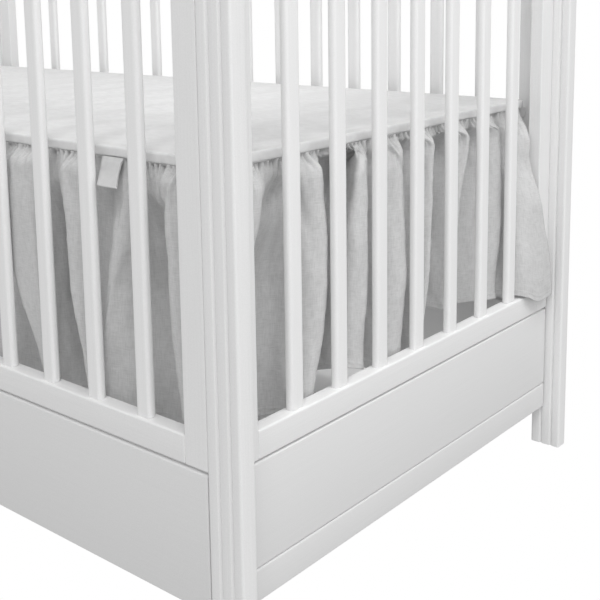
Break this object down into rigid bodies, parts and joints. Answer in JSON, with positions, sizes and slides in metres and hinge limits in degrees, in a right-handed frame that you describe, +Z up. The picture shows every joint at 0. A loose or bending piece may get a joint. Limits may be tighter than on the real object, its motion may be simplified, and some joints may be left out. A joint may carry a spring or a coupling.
{
  "type": "gathered crib skirt on a slatted baby crib",
  "caption": "Light grey gathered cloth skirt with a white deck cloth over the base board of a white slatted crib, hanging on all four sides, with the posts and slatted frames around it",
  "frame": {"origin": "on the floor, under the middle of the crib", "axes": "+X along the crib towards its right-hand end, +Y across it to the back, +Z up; the long front side faces -Y"},
  "size_m": [1.303, 0.657, 0.8],
  "materials": {
    "painted_wood": "white satin paint",
    "skirt_linen": "slubby plain weave, light grey",
    "deck_cotton": "white plain cotton",
    "label_ribbon": "white woven ribbon"
  },
  "bodies": {
    "root": {"base_board": "painted_wood", "deck": "deck_cotton", "frame_back": "painted_wood", "frame_front": "painted_wood", "frame_left": "painted_wood", "frame_right": "painted_wood", "label": "label_ribbon", "post_back_left": "painted_wood", "post_back_right": "painted_wood", "post_front_left": "painted_wood", "post_front_right": "painted_wood", "skirt_back": "skirt_linen", "skirt_front": "skirt_linen", "skirt_left": "skirt_linen", "skirt_right": "skirt_linen", "slat_back_01": "painted_wood", "slat_back_02": "painted_wood", "slat_back_03": "painted_wood", "slat_back_04": "painted_wood", "slat_back_05": "painted_wood", "slat_back_06": "painted_wood", "slat_back_07": "painted_wood", "slat_back_08": "painted_wood", "slat_back_09": "painted_wood", "slat_back_10": "painted_wood", "slat_back_11": "painted_wood", "slat_back_12": "painted_wood", "slat_back_13": "painted_wood", "slat_back_14": "painted_wood", "slat_back_15": "painted_wood", "slat_front_01": "painted_wood", "slat_front_02": "painted_wood", "slat_front_03": "painted_wood", "slat_front_04": "painted_wood", "slat_front_05": "painted_wood", "slat_front_06": "painted_wood", "slat_front_07": "painted_wood", "slat_front_08": "painted_wood", "slat_front_09": "painted_wood", "slat_front_10": "painted_wood", "slat_front_11": "painted_wood", "slat_front_12": "painted_wood", "slat_front_13": "painted_wood", "slat_front_14": "painted_wood", "slat_front_15": "painted_wood", "slat_left_01": "painted_wood", "slat_left_02": "painted_wood", "slat_left_03": "painted_wood", "slat_left_04": "painted_wood", "slat_left_05": "painted_wood", "slat_left_06": "painted_wood", "slat_left_07": "painted_wood", "slat_right_01": "painted_wood", "slat_right_02": "painted_wood", "slat_right_03": "painted_wood", "slat_right_04": "painted_wood", "slat_right_05": "painted_wood", "slat_right_06": "painted_wood", "slat_right_07": "painted_wood"}
  },
  "joints": []
}
